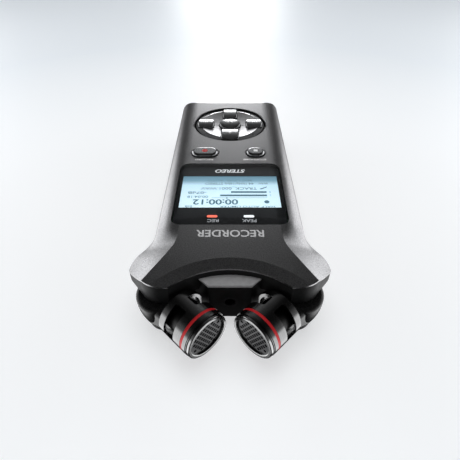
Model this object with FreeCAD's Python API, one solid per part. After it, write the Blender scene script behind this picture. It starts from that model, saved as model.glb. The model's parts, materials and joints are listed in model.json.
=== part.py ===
import FreeCAD, Part
import math
import os

# Handheld stereo voice recorder, lying on its back. Millimetres. X is across the recorder, Z comes out of
# the display. Inside this script Y is measured from the recorder's bottom end towards the microphones;
# save() then centres the length, so the finished part has its origin under the middle of its box.

# ---- casing ----
GRIP_HALF = 28.15        # half width of the parallel grip
EAR_HALF = 34.4          # half width over the ears beside the microphones
TOP = 25.0               # flat face of the front cover
SEAM = 19.5              # parting line between front and back covers
INNER_BASE = 13.5        # lower end of the bodies that shape the covers' inner surfaces
SKIN = 1.5               # front cover thickness
WALL = 1.8               # side wall thickness
FLOOR = 2.2              # back cover floor thickness
FLARE_START = 112.0      # the grip begins to widen here
FLARE_TURN = 122.5       # the flare turns back here
FLARE_OUT_R = 17.5       # radius of the first, outward part of the flare
FLARE_BACK_R = 13.75     # radius of the second part, back to straight
EAR_WIDEST = 130.75      # the ears reach their full width here
ARC_DEPTH = 133.4        # deepest point of the hollow between the ears
ARC_END = (19.7, 141.3)  # where that hollow meets an ear's end
EAR_ROOF = 16.5          # underside of the ears, above the microphone hubs
TUB_END = 125.4          # end wall of the back cover under the ears
EDGE_R = 3.5             # rounding along the back cover's lower edges
FAR_EDGE_R = 2.5         # rounding of the front cover's bottom end
EDGE_SKIN = 0.6          # front cover's thickness at the ear ends, where the black frame comes up to it
EARS_FROM = 100.0        # the front cover's curved body starts here, with a section every STATION_STEP
STATION_STEP = 2.0

# ---- display ----
WINDOW = (22.3, 69.9, 112.1)   # half width, lower and upper end of the display window
LENS_BACK = 23.6               # back of the window, on the printed mask
LCD_VIEW = (20.5, 77.9, 100.3)  # half width, lower and upper end of the visible display
LIGHT_Y = 105.7
LIGHT_SIZE = (4.2, 1.5)
RECORD_LIGHT_X = 6.9
PEAK_LIGHT_X = -7.3

# ---- keys ----
KEY_GAP = 0.35
SINGLE_KEY_TOP = 26.2
PAD_KEY_TOP = 25.9
PAD_KEY_LOW = 22.9         # underside of the pad's keys
KEY_FLANGE = (22.2, 23.1)  # retaining flange under the skin
STEM_FOOT = 21.3           # lower end of every key stem
PAD_Y = 29.2               # centre of the round control pad
PAD_HOLE_R = 19.2          # round opening in the cover, a groove wider than the ring
PAD_R = 18.0               # outer radius of the ring
RING_INNER = 15.7
RING_TOP = 24.7
ARROW_END = 17.1           # outer end of the arrow keys, in cutouts of the ring
PLAY_R = 5.7
PAD_PLATE = (21.4, 22.3, 20.0)      # lower and upper face and radius of the keys' carrier
ARROW_STEM = 12.8          # how far the stems stand from the pad's centre
QUADRANT_STEM = 11.0
HAIRLINE = 0.18            # half of the gap between neighbouring quadrant keys
DISH_LOW = 23.6            # lowest point of the dish that the quadrant keys make together
BUTTON_Y = 60.2
RECORD_SIZE = (11.95, 12.4, 7.4)   # centre x, length, width
STOP_SIZE = (-12.15, 8.7, 7.2)

# ---- inside ----
BOARD = (17.3, 18.5)
CELL_R = 7.25
CELL_LENGTH = 50.5
CELL_X = 7.6
CELL_Z = 9.1
CELL_START = 6.0
BAY = (15.3, 3.4, 57.6, 16.5)      # half width, ends and roof of the battery bay
DOOR_HALF = 17.6
DOOR_END = 61.0
DOOR_THICK = 1.5
RUNNER = (1.3, 0.7)                # how far the door's side runners stand out, and their lower face
SLIDE_GAP = 0.1

# ---- side and end fittings ----
JACK_R = 1.8                       # 3.5 mm plug socket
JACK_LENGTH = 12.0
JACK_HALF = 3.2                    # half height of a socket's body
JACK_BLOCK = (7.1, 12.5, 138.6, 133.2)  # half widths and where its 45 degree sides start and end
JACK_BLOCK_TOP = 22.0
CAP_HOLLOW = (31.0, 132.0, 21.3)   # radius of the cap's hollow top, and its lowest line: y and z
EXT_JACK_Z = 13.2
PHONES_Y = 104.0
PHONES_Z = 11.0
SWITCH_Y = 86.0
SWITCH_Z = 11.0
USB_Y = 57.0
CARD_Y = 90.0
CARD_HINGE_Z = 11.2
TRIPOD_Y = 74.0
TRIPOD_R = 2.55
TRIPOD_DEPTH = 6.0
SPEAKER_Y = 97.0

# ---- microphones ----
PIVOT = (23.0, 135.7)
PIN_R = 2.0
PIN_FIT = 0.05
PIN_HEAD_R = 3.2
PIN_HEAD_Z = 18.3        # underside of the pins' heads, on the slab under the ears
HUB_R = 8.95
HUB_LOW = 5.0
HUB_TOP = 16.2
NECK_ROOT = (7.6, 5.0, 16.1, 1.8)   # half width, lower and upper face and rounding where it leaves the hub
NECK_END = (6.9, 7.0, 16.1, 2.6)    # the same at the microphone
MIC_Z = 12.95
MIC_REACH = 23.0         # pivot to the front plane of the rim
MIC_R = 8.25
MIC_LENGTH = 14.3
RIM_R = 8.0
GRILLE_R = 6.6
MESH_PITCH = 1.42
MESH_HOLE = 1.0
MESH_TURN = 28.0         # degrees the grille's grid is turned about the microphone's axis
RED_RING = (-4.15, -3.1)
CAGE_OPENING = (-11.9, -7.3)  # rear and front end of the cage's openings
CAGE_BAR = 27.0          # degrees taken by each of the three bars between them

MIC_AXIS = (-1 / math.sqrt(2), 1 / math.sqrt(2))  # the right microphone points in and forwards
RIM_FRONT = PIVOT[1] + MIC_REACH * MIC_AXIS[1]
LENGTH = RIM_FRONT + RIM_R * MIC_AXIS[1]


# ---------------------------------------------------------------- helpers

def vec(x, y, z=0.0):
    return FreeCAD.Vector(x, y, z)


def block(x0, x1, y0, y1, z0, z1):
    return Part.makeBox(x1 - x0, y1 - y0, z1 - z0, vec(x0, y0, z0))


def rod(x, y, z, radius, height, axis=(0, 0, 1)):
    return Part.makeCylinder(radius, height, vec(x, y, z), vec(*axis))


def line(a, b):
    return Part.LineSegment(vec(*a), vec(*b)).toShape()


def arc(a, mid, b):
    return Part.Arc(vec(*a), vec(*mid), vec(*b)).toShape()


def extruded(edges, low, high):
    wire = Part.Wire(edges)
    wire.translate(vec(0, 0, low))
    return Part.Face(wire).extrude(vec(0, 0, high - low))


def polygon(points):
    return [line(a, b) for a, b in zip(points, points[1:] + points[:1])]


def rounded_edges(x, y, width, height, radius):
    """A rounded rectangle centred on x, y."""
    dx = width / 2 - radius
    dy = height / 2 - radius
    k = radius / math.sqrt(2)
    edges = []
    corners = [(1, 1), (-1, 1), (-1, -1), (1, -1)]
    for i, (sx, sy) in enumerate(corners):
        cx = x + sx * dx
        cy = y + sy * dy
        ends = [(cx + sx * radius, cy), (cx, cy + sy * radius)]
        if sx != sy:
            ends.reverse()
        edges.append(arc(ends[0], (cx + sx * k, cy + sy * k), ends[1]))
        nx, ny = corners[(i + 1) % 4]
        ahead = (x + nx * dx, y + ny * dy)
        step = (ahead[0], ahead[1] + sy * radius) if sy == ny else (ahead[0] + sx * radius, ahead[1])
        if math.dist(ends[1], step) > 0.001:
            edges.append(line(ends[1], step))
    return edges


def rounded(x, y, width, height, radius, low, high):
    """An upright prism with a rounded rectangle as its plan."""
    return extruded(rounded_edges(x, y, width, height, radius), low, high)


def pill(x, y, length, width, low, high):
    return rounded(x, y, length, width, width / 2 - 0.01, low, high)


def edges_at(shape, z, tolerance=0.01):
    boxes = [(e, e.BoundBox) for e in shape.Edges]
    return [e for e, box in boxes if max(abs(box.ZMin - z), abs(box.ZMax - z)) < tolerance]


def fused(shapes):
    return shapes[0].multiFuse(shapes[1:]).removeSplitter()


def mirrored(shape):
    return shape.mirror(vec(0, 0, 0), vec(1, 0, 0))


def save(name, shape):
    moved = shape.copy()
    moved.translate(vec(0, -LENGTH / 2, 0))
    moved.exportStep("parts/" + name + ".step")


# ---------------------------------------------------------------- casing outline

def flare_half(y):
    """Half width of the casing at distance y from the bottom end."""
    if y < FLARE_START:
        return GRIP_HALF
    if y < FLARE_TURN:
        return GRIP_HALF + FLARE_OUT_R - math.sqrt(FLARE_OUT_R ** 2 - (y - FLARE_START) ** 2)
    if y < EAR_WIDEST:
        return EAR_HALF - FLARE_BACK_R + math.sqrt(FLARE_BACK_R ** 2 - (EAR_WIDEST - y) ** 2)
    return EAR_HALF


def ear_end(inset=0.0):
    """Half of the plan's microphone end, from outside the right ear's tip to the middle of the hollow."""
    tip = [(EAR_HALF + 0.35 - inset, 129.4 - inset), (EAR_HALF - 0.15 - inset, 131.2 - inset)]
    tip.append((EAR_HALF - 1.1 - inset, 132.6 - inset))
    shoulder = [(28.2 - 0.4 * inset, 138.9 - 0.9 * inset), (25.4, 140.8 - inset), (22.0, 141.3 - inset)]
    return tip, shoulder, (ARC_END[0] + 0.3 * inset, ARC_END[1] - inset), (0.0, ARC_DEPTH - inset)


def end_limit(inset=0.0, low=-5.0, high=40.0):
    """A wide block that ends at the plan's ear ends and the hollow between them."""
    tip, shoulder, corner, middle = ear_end(inset)
    half = [line((0, -20), (45, -20)), line((45, -20), (45, tip[0][1])), line((45, tip[0][1]), tip[0])]
    half += [arc(*tip), line(tip[2], shoulder[0]), arc(*shoulder), line(shoulder[2], corner)]
    other = [mirrored(e) for e in half]
    hollow = arc(corner, middle, (-corner[0], corner[1]))
    wire = Part.Wire(Part.__sortEdges__(half + [hollow] + other))
    wire.translate(vec(0, 0, low))
    return Part.Face(wire).extrude(vec(0, 0, high - low))


def bottom_limit(inset=0.0, low=-5.0, high=40.0):
    """A wide block that ends at the bottom end, with its corners rounded in plan."""
    side = GRIP_HALF - inset
    edges = [line((0, inset), (side - 3.0, inset))]
    edges.append(arc((side - 3.0, inset), (side - 0.75, inset + 0.95), (side + 0.1, inset + 3.2)))
    edges.append(line((side + 0.1, inset + 3.2), (45, inset + 3.2)))
    edges.append(line((45, inset + 3.2), (45, 170)))
    edges.append(line((45, 170), (0, 170)))
    wire = Part.Wire(Part.__sortEdges__(edges + [mirrored(e) for e in edges]))
    wire.translate(vec(0, 0, low))
    return Part.Face(wire).extrude(vec(0, 0, high - low))


def crease_half(y):
    """Half width of the front cover's flat face: constant on the grip, opening out across the ears."""
    ahead = y - 121.5
    return 18.6 + 0.27 * (ahead + math.sqrt(ahead ** 2 + 9.0))


def smooth_step(value, start, end):
    t = min(1.0, max(0.0, (value - start) / (end - start)))
    return t * t * (3 - 2 * t)


def front_section(y, inset, base):
    """Cross-section of the front cover at y: a flat top with shoulders that are round on the grip and
    flat on the ears. inset moves it inwards for the inner surface."""
    flat = smooth_step(y, 110.0, 124.0)
    edge_z = 19.8 + 0.7 * flat - 0.8 * inset
    x0 = crease_half(y) - 0.1 * inset
    x3 = flare_half(y) - inset
    z0 = TOP - inset * SKIN / WALL
    drop = z0 - edge_z
    round_1 = (x0 + 0.552 * (x3 - x0), z0)
    round_2 = (x3, edge_z + 0.552 * drop)
    plane_1 = (x0 + (x3 - x0) / 3, z0 - drop / 3)
    plane_2 = (x0 + 2 * (x3 - x0) / 3, z0 - 2 * drop / 3)
    mid_1 = [a + (b - a) * flat for a, b in zip(round_1, plane_1)]
    mid_2 = [a + (b - a) * flat for a, b in zip(round_2, plane_2)]
    right = Part.BezierCurve()
    ends = [(x0, z0), (x3, edge_z)]
    right.setPoles([vec(x, y, z) for x, z in (ends[0], mid_1, mid_2, ends[1])])
    left = Part.BezierCurve()
    left.setPoles([vec(-p.x, p.y, p.z) for p in reversed(right.getPoles())])
    corners = [vec(x3, y, edge_z), vec(x3, y, base), vec(-x3, y, base), vec(-x3, y, edge_z)]
    edges = [right.toShape()]
    edges += [Part.LineSegment(a, b).toShape() for a, b in zip(corners, corners[1:])]
    edges += [left.toShape(), Part.LineSegment(vec(-x0, y, z0), vec(x0, y, z0)).toShape()]
    return Part.Wire(edges)


def front_loft(inset, base, drop=0.0):
    """The front cover's body between its bottom and microphone ends, before those ends are shaped."""
    grip = Part.makeLoft([front_section(y, inset, base) for y in (-3.0, EARS_FROM)], True)
    count = math.ceil((ARC_END[1] - EARS_FROM) / STATION_STEP) + 2
    stations = [EARS_FROM + STATION_STEP * i for i in range(count)]
    ears = Part.makeLoft([front_section(y, inset, base) for y in stations], True)
    body = grip.fuse(ears)
    body.translate(vec(0, 0, -drop))
    return body


# ---------------------------------------------------------------- front cover and what sits in it

def hollow_bevel():
    """A shallow cone that slopes the face down towards the hollow between the ears."""
    half = ARC_END[0]
    rise = ARC_END[1] - ARC_DEPTH
    radius = (half ** 2 + rise ** 2) / (2 * rise)
    outer = radius + 4.4
    slope = 0.75 / 4.4
    inner = 12.0
    points = [(outer, TOP), (outer, TOP + 3), (inner, TOP + 3), (inner, TOP - slope * (outer - inner))]
    profile = [Part.LineSegment(vec(a[0], 0, a[1]), vec(b[0], 0, b[1])).toShape()
               for a, b in zip(points, points[1:] + points[:1])]
    ring = Part.Face(Part.Wire(profile)).revolve(vec(0, 0, 0), vec(0, 0, 1), 360)
    ring.translate(vec(0, ARC_DEPTH + radius, 0))
    return ring


def window_plan(gap, low, high):
    half, start, end = WINDOW
    return rounded(0, (start + end) / 2, 2 * (half + gap), end - start + 2 * gap, 4.0 + gap, low, high)


def single_key_plan(size, gap, low, high):
    x, length, width = size
    return pill(x, BUTTON_Y, length + 2 * gap, width + 2 * gap, low, high)


def end_wall():
    """The black wall closing the casing at the ear ends, up to the cover's thin edge."""
    wall = front_loft(0.0, INNER_BASE, EDGE_SKIN).common(end_limit())
    wall = wall.common(block(-40, 40, 127, 150, SEAM, TOP))
    lowered = hollow_bevel()
    lowered.translate(vec(0, 0, -EDGE_SKIN))
    return wall.cut(lowered).cut(end_limit(1.75))


def far_edge():
    """What the rounding takes off the front cover's bottom end."""
    corner = block(-40, 40, -1, FAR_EDGE_R, TOP - FAR_EDGE_R, TOP + 1)
    return corner.cut(rod(-41, FAR_EDGE_R, TOP - FAR_EDGE_R, FAR_EDGE_R, 82, (1, 0, 0)))


def front_cover():
    body = front_loft(0.0, SEAM).common(end_limit()).common(bottom_limit())
    body = body.cut(hollow_bevel()).cut(end_wall()).cut(far_edge())
    hollow = front_loft(WALL, INNER_BASE).common(bottom_limit(WALL))
    body = body.cut(hollow)
    body = body.cut(window_plan(0.12, SEAM, TOP + 2))
    rim = Part.makeCone(PAD_HOLE_R, PAD_HOLE_R + 0.5, 0.4, vec(0, PAD_Y, TOP - 0.35))
    body = body.cut(rod(0, PAD_Y, SEAM, PAD_HOLE_R, 10)).cut(rim)
    for size in (RECORD_SIZE, STOP_SIZE):
        body = body.cut(single_key_plan(size, KEY_GAP, SEAM, TOP + 2))
        body = body.cut(single_key_plan(size, KEY_GAP + 0.45, TOP - 0.35, TOP + 2))
    return body


def front_frame():
    """Black frame under the front cover: a lip round the seam, and the wall at the ear ends."""
    inner = front_loft(WALL, INNER_BASE)
    lip_outer = inner.common(end_limit(1.7)).common(bottom_limit(WALL))
    lip_outer = lip_outer.common(block(-40, 40, 0, 150, SEAM - 1.0, SEAM + 1.3))
    lip_inner = front_loft(WALL + 1.3, INNER_BASE).common(end_limit(3.0))
    lip_inner = lip_inner.common(bottom_limit(WALL + 1.3))
    lip = lip_outer.cut(lip_inner)
    for sx in (1, -1):
        lip = lip.cut(rod(sx * PIVOT[0], PIVOT[1], SEAM - 1.0, PIN_HEAD_R + 0.2, 1.5))
    return lip.fuse(end_wall())


def display_window():
    plate = window_plan(0.0, LENS_BACK, TOP + 1)
    return plate.common(front_loft(0.0, SEAM, 0.12))


def display_mask():
    mask = window_plan(-0.5, LENS_BACK - 0.2, LENS_BACK)
    half, start, end = LCD_VIEW
    mask = mask.cut(block(-half, half, start, end, 22, 25))
    for x in (RECORD_LIGHT_X, PEAK_LIGHT_X):
        mask = mask.cut(pill(x, LIGHT_Y, LIGHT_SIZE[0], LIGHT_SIZE[1], 22, 25))
    return mask


def light_pipe(x):
    lens = pill(x, LIGHT_Y, LIGHT_SIZE[0] - 0.1, LIGHT_SIZE[1] - 0.1, 21.2, LENS_BACK)
    return lens.fuse(rod(x, LIGHT_Y, BOARD[1] + 0.7, 0.65, 20.6 - BOARD[1])).removeSplitter()


def lcd_glass():
    half, start, end = LCD_VIEW
    return block(-half - 0.9, half + 0.9, start - 1.6, end + 0.9, 22.2, LENS_BACK - 0.3)


def lcd_frame():
    half, start, end = LCD_VIEW
    frame = block(-half - 1.7, half + 1.7, start - 4.0, end + 1.6, 19.3, 23.0)
    frame = frame.cut(block(-half - 0.9, half + 0.9, start - 1.6, end + 0.9, 22.2, 24))
    for x in (-half + 2, half - 2):
        frame = frame.fuse(rod(x, start - 2.8, BOARD[1], 1.0, 0.8))
    return frame


def pad_ring():
    """Ring set into the cover round the pad: its top falls outwards, and the arrow keys cut into it."""
    ring = rod(0, PAD_Y, PAD_PLATE[1], PAD_R, 4).cut(rod(0, PAD_Y, 22, RING_INNER, 5))
    crown = 90.0
    centre = RING_TOP - math.sqrt(crown ** 2 - RING_INNER ** 2)
    ring = ring.common(Part.makeSphere(crown, vec(0, PAD_Y, centre)))
    for i in range(4):
        notch = block(RING_INNER - 1, PAD_R + 1, -0.4, 0.4, RING_TOP - 0.9, 26)
        notch.rotate(vec(0, 0, 0), vec(0, 0, 1), 45 + 90 * i)
        notch.translate(vec(0, PAD_Y, 0))
        ring = ring.cut(notch)
    for name in ARROWS:
        ring = ring.cut(arrow_plan(name, KEY_GAP, 22, 27))
    return ring


# ---------------------------------------------------------------- keys

def arrow_plan(name, gap, low, high, reach_in=0.0):
    """One of the four outer keys of the pad: a bar from near the play key out into the ring."""
    angle, half, start, _ = ARROWS[name]
    start -= reach_in
    bar = rounded((start + 20) / 2, 0, 20 - start + 2 * gap, 2 * (half + gap), 1.6 + gap, low, high)
    bar = bar.common(rod(0, 0, low, ARROW_END + gap, high - low))
    bar.rotate(vec(0, 0, 0), vec(0, 0, 1), angle)
    bar.translate(vec(0, PAD_Y, 0))
    return bar


# direction in degrees, half width, start measured from the pad's centre, radius of the curved top
ARROWS = {
    "forward_key": (0, 4.3, 8.7, 13.0),
    "up_key": (90, 4.5, 6.7, 17.0),
    "rewind_key": (180, 4.3, 8.7, 13.0),
    "down_key": (270, 3.8, 6.7, 17.0),
}
# how much further in the quadrant keys are cut back beside each arrow key
CUT_BACK = {"forward_key": 0.0, "up_key": 3.7, "rewind_key": 0.0, "down_key": 3.7}
QUADRANTS = {"menu_key": (1, 1), "quick_key": (-1, 1), "loop_key": (-1, -1), "mark_key": (1, -1)}


def play_plan(gap, low, high):
    return rod(0, PAD_Y, low, PLAY_R + gap, high - low)


def stem(x, y, top):
    return rod(x, y, STEM_FOOT, 1.3, top - STEM_FOOT)


def single_key(size):
    """A key with a rounded top edge, on its stem, with a flange that keeps it under the skin."""
    low = KEY_FLANGE[0]
    cap = single_key_plan(size, 0.0, low, SINGLE_KEY_TOP)
    cap = cap.makeFillet(1.2, edges_at(cap, SINGLE_KEY_TOP)).fuse(stem(size[0], BUTTON_Y, low + 0.2))
    return cap.fuse(single_key_plan(size, 0.9, *KEY_FLANGE)).removeSplitter()


def softened(cap, radius):
    """Round the edges round a cap's curved top."""
    rim = [e for e in cap.Edges if e.BoundBox.ZMin > PAD_KEY_LOW + 0.5]
    return cap.makeFillet(radius, rim)


def pad_key(name):
    """An arrow key: its top is curved towards and away from the display, like a piece of a barrel."""
    degrees, _, start, barrel = ARROWS[name]
    angle = math.radians(degrees)
    middle = PAD_Y + (start + ARROW_END) / 2 * math.sin(angle)
    cap = arrow_plan(name, 0.0, PAD_KEY_LOW, PAD_KEY_TOP + 1)
    cap = cap.common(rod(-20, middle, PAD_KEY_TOP - barrel, barrel, 40, (1, 0, 0)))
    x = ARROW_STEM * math.cos(angle)
    y = PAD_Y + ARROW_STEM * math.sin(angle)
    return softened(cap, 0.5).fuse(stem(x, y, PAD_KEY_LOW + 0.2))


def play_key():
    dome = 17.0
    cap = play_plan(0.0, PAD_KEY_LOW, PAD_KEY_TOP + 1)
    cap = cap.common(Part.makeSphere(dome, vec(0, PAD_Y, PAD_KEY_TOP + 0.1 - dome)))
    return softened(cap, 0.6).fuse(stem(0, PAD_Y, PAD_KEY_LOW + 0.2))


def quadrant_key(name):
    """A dished key filling the space between two arrow keys, the play key and the ring."""
    sx, sy = QUADRANTS[name]
    key = rod(0, PAD_Y, PAD_KEY_LOW, RING_INNER - KEY_GAP, 3)
    x0, x1 = sorted((sx * HAIRLINE, sx * 20))
    y0, y1 = sorted((sy * HAIRLINE, sy * 20))
    key = key.common(block(x0, x1, PAD_Y + y0, PAD_Y + y1, 22, 27))
    for arrow in ARROWS:
        key = key.cut(arrow_plan(arrow, KEY_GAP, 22, 27, CUT_BACK[arrow]))
    key = key.cut(play_plan(KEY_GAP, 22, 27))
    dish_r = 95.0
    key = key.cut(Part.makeSphere(dish_r, vec(0, PAD_Y, DISH_LOW + dish_r)))
    reach = QUADRANT_STEM / math.sqrt(2)
    return key.fuse(stem(sx * reach, PAD_Y + sy * reach, PAD_KEY_LOW + 0.2))


def pad_plate():
    """Black carrier under the pad's keys, with a guide hole for each stem."""
    low, high, radius = PAD_PLATE
    plate = rod(0, PAD_Y, low, radius, high - low)
    for x, y in key_places()[2:]:
        plate = plate.cut(rod(x, y, low - 1, 1.5, 3))
    return plate


def key_places():
    """Centres of all the key stems, in plan."""
    reach = QUADRANT_STEM / math.sqrt(2)
    places = [(RECORD_SIZE[0], BUTTON_Y), (STOP_SIZE[0], BUTTON_Y), (0, PAD_Y)]
    places += [(ARROW_STEM, PAD_Y), (0, PAD_Y + ARROW_STEM)]
    places += [(-ARROW_STEM, PAD_Y), (0, PAD_Y - ARROW_STEM)]
    places += [(sx * reach, PAD_Y + sy * reach) for sx, sy in QUADRANTS.values()]
    return places


def keypad_membrane():
    """Silicone sheet with a low dome under each key."""
    sheet = rounded(0, 37.5, 40, 58, 4, 19.9, 20.4)
    domes = [Part.makeCone(2.2, 1.5, 0.35, vec(x, y, 20.4)) for x, y in key_places()]
    return sheet.multiFuse(domes)


def tact_switches():
    switches = []
    for x, y in key_places():
        base = block(x - 2.2, x + 2.2, y - 2.2, y + 2.2, BOARD[1], BOARD[1] + 0.8)
        switches.append(base.fuse(rod(x, y, BOARD[1] + 0.8, 1.1, 0.5)))
    return Part.makeCompound(switches)


# ---------------------------------------------------------------- back cover and its contents

def tub_outer():
    """Outside of the back cover's tub, with its lower edges rounded."""
    side = GRIP_HALF
    out_mid = FLARE_START + 5.4
    half = [line((0, 0), (side - 3, 0)), arc((side - 3, 0), (side - 0.88, 0.88), (side, 3))]
    half.append(line((side, 3), (side, FLARE_START)))
    turn = (flare_half(FLARE_TURN - 1.5), FLARE_TURN - 1.5)
    half.append(arc((side, FLARE_START), (flare_half(out_mid), out_mid), turn))
    half.append(arc(turn, (turn[0] + 0.35, turn[1] + 2.6), (turn[0] - 2.4, TUB_END)))
    half.append(line((turn[0] - 2.4, TUB_END), (0, TUB_END)))
    wire = Part.Wire(Part.__sortEdges__(half + [mirrored(e) for e in half]))
    body = Part.Face(wire).extrude(vec(0, 0, SEAM))
    return body.makeFillet(EDGE_R, edges_at(body, 0.0))


def ear_roof():
    """Slab under both ears, carrying the upper ends of the hinge pins."""
    slab = block(-40, 40, 118, 150, EAR_ROOF, SEAM)
    return front_loft(0.0, INNER_BASE).common(end_limit()).common(slab)


def rim_hollow():
    """Space inside the back cover's rim, above the slab, for the front frame's lip and the pin heads."""
    inside = front_loft(WALL, INNER_BASE).common(end_limit(1.7)).common(bottom_limit(WALL))
    return inside.common(block(-40, 40, 0, 150, PIN_HEAD_Z, SEAM + 1))


def lug():
    """Lower bearing of the right hinge pin."""
    x, y = PIVOT
    tab = block(x - 6.2, x + 6.2, TUB_END - 4, y, 1.4, 4.6)
    tab = tab.fuse(rod(x, y, 1.4, 6.2, 3.2))
    return tab


def door_cut(gap):
    """Space for the battery door: its plate, and a groove each side for its runners."""
    half = DOOR_HALF + gap
    plate = block(-half, half, -1, DOOR_END + gap, -1, DOOR_THICK + SLIDE_GAP)
    stand, low = RUNNER
    side = half + stand
    groove = block(-side, side, -1, DOOR_END + gap, low - SLIDE_GAP, DOOR_THICK + SLIDE_GAP)
    return plate.fuse(groove)


def screw_places():
    return [(sx * 22.6, y) for sx in (1, -1) for y in (9.0, 71.0, 117.5)]


def back_cover():
    outer = tub_outer()
    inner = rounded(0, TUB_END / 2, 2 * (GRIP_HALF - WALL), TUB_END - 2 * WALL, 2.5, FLOOR, SEAM + 5)
    body = outer.fuse(ear_roof()).cut(inner).cut(rim_hollow()).fuse(lug()).fuse(mirrored(lug()))
    half, start, end, roof = BAY
    shell = block(-DOOR_HALF - 2.1, DOOR_HALF + 2.1, WALL, DOOR_END + 1.2, FLOOR - 0.5, FLOOR + 0.3)
    shell = shell.fuse(block(-half - 1.2, half + 1.2, WALL, end + 1.2, FLOOR - 0.5, roof + 0.6))
    body = body.fuse(shell).cut(block(-half, half, start, end, -1, roof)).cut(door_cut(0.3))
    for x, y in screw_places():
        body = body.fuse(rod(x, y, FLOOR - 0.5, 2.6, BOARD[0] - FLOOR + 0.5))
    for x, y in screw_places():
        body = body.cut(rod(x, y, -1, 1.0, 30)).cut(rod(x, y, -1, 1.9, 3.2))
    body = body.cut(rod(0, TRIPOD_Y, -1, 5.0, 9)).cut(rod(0, TRIPOD_Y, FLOOR, 6.0, 1.0))
    for i in range(5):
        body = body.cut(pill(0, SPEAKER_Y - 5 + 2.5 * i, 13, 1.2, -1, FLOOR + 1))
    return side_openings(body).removeSplitter()


def side_block(x0, x1, y, half_y, z0, z1):
    """A block centred on y, with x0 and x1 measured outwards from the grip's right side."""
    return block(GRIP_HALF + x0, GRIP_HALF + x1, y - half_y, y + half_y, z0, z1)


def side_openings(body):
    """Cut the hinge pins' holes and the openings for the fittings in both sides."""
    for sx in (1, -1):
        body = body.cut(rod(sx * PIVOT[0], PIVOT[1], 0, PIN_R, SEAM))
    body = body.cut(rod(-GRIP_HALF - 1, PHONES_Y, PHONES_Z, 3.0, 5, (1, 0, 0)))
    body = body.cut(mirrored(side_block(-4, 1, SWITCH_Y, 4.6, SWITCH_Z - 1.7, SWITCH_Z + 1.7)))
    body = body.cut(side_block(-4, 1, USB_Y, 4.1, 12.3, 16.7))
    body = body.cut(side_block(-0.35, 1, CARD_Y, 7.8, CARD_HINGE_Z - 1.1, CARD_HINGE_Z + 1))
    return body.cut(card_cover_plan(0.2)).cut(side_block(-4, 0, CARD_Y, 6.0, 13.2, 16.4))


def battery_door():
    plate = block(-DOOR_HALF, DOOR_HALF, 0, DOOR_END, 0, DOOR_THICK)
    stand, low = RUNNER
    runners = block(-DOOR_HALF - stand, DOOR_HALF + stand, 2.5, DOOR_END, low, DOOR_THICK)
    door = plate.fuse(runners).common(tub_outer())
    for i in range(6):
        door = door.cut(pill(0, 46 + 1.8 * i, 14, 0.8, -1, 0.4))
    return door


def turned(shape):
    """The left bay's copy of a right bay piece: the cells lie opposite ways round."""
    _, start, end, _ = BAY
    copy = shape.copy()
    copy.rotate(vec(0, (start + end) / 2, 0), vec(0, 0, 1), 180)
    return copy


def battery_cell():
    """AA cell of the right bay, its flat end towards the bottom of the recorder."""
    body = rod(CELL_X, CELL_START, CELL_Z, CELL_R, CELL_LENGTH - 1.2, (0, 1, 0))
    body = body.makeFillet(0.6, [e for e in body.Edges if e.Closed])
    return body.fuse(rod(CELL_X, CELL_START + CELL_LENGTH - 1.3, CELL_Z, 2.6, 1.3, (0, 1, 0)))


def battery_springs():
    """A coil of wire pressing on each cell's flat end."""
    start = BAY[1]
    wire_r = 0.22
    path = Part.makeHelix(0.9, CELL_START - start - 2 * wire_r - 0.2, 3.0)
    ring = Part.Wire(Part.makeCircle(wire_r, vec(3.0, 0, 0), vec(0, 1, 0)))
    coil = Part.Wire(path).makePipeShell([ring], True, True)
    coil.rotate(vec(0, 0, 0), vec(1, 0, 0), -90)
    coil.translate(vec(CELL_X, start + wire_r + 0.1, CELL_Z))
    return Part.makeCompound([coil, turned(coil)])


def battery_contacts():
    """A plate with a raised boss touching each cell's raised end."""
    end = BAY[2]
    plate = block(CELL_X - 5, CELL_X + 5, end - 0.4, end, CELL_Z - 5, CELL_Z + 5)
    tip = CELL_START + CELL_LENGTH
    contact = plate.fuse(rod(CELL_X, tip, CELL_Z, 2.0, end - tip - 0.2, (0, 1, 0)))
    return Part.makeCompound([contact, turned(contact)])


def main_board():
    board = block(-25.2, 25.2, 4.5, 123.0, BOARD[0], BOARD[1])
    for sx in (1, -1):
        board = board.cut(rod(sx * PIVOT[0], PIVOT[1], BOARD[0] - 1, 14.5, 4))
    for x, y in screw_places():
        board = board.cut(rod(x, y, BOARD[0] - 1, 1.3, 4))
    return board


def case_screws():
    screws = []
    for x, y in screw_places():
        head = rod(x, y, 0.7, 1.7, 1.4).cut(block(x - 1.2, x + 1.2, y - 0.2, y + 0.2, 0, 1.3))
        head = head.cut(block(x - 0.2, x + 0.2, y - 1.2, y + 1.2, 0, 1.3))
        screws.append(head.fuse(rod(x, y, 2.1, 0.95, 16.8)))
    return Part.makeCompound(screws)


def hinge_pins():
    pins = []
    for sx in (1, -1):
        pin = rod(sx * PIVOT[0], PIVOT[1], 1.7, PIN_R, PIN_HEAD_Z - 1.7)
        pins.append(pin.fuse(rod(sx * PIVOT[0], PIVOT[1], PIN_HEAD_Z, PIN_HEAD_R, 0.9)))
    return Part.makeCompound(pins)


def tripod_insert():
    body = rod(0, TRIPOD_Y, 0.3, 5.0, TRIPOD_DEPTH + 0.9).fuse(rod(0, TRIPOD_Y, FLOOR, 6.0, 1.0))
    return body.cut(rod(0, TRIPOD_Y, 0, TRIPOD_R, TRIPOD_DEPTH + 0.3))


def speaker():
    frame = rod(0, SPEAKER_Y, FLOOR, 10.0, 1.2).cut(rod(0, SPEAKER_Y, FLOOR - 1, 8.4, 3))
    cone = Part.makeCone(8.8, 4.0, 1.6, vec(0, SPEAKER_Y, FLOOR + 0.6))
    return fused([frame, cone, rod(0, SPEAKER_Y, FLOOR + 2.0, 5.5, 2.2)])


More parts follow.
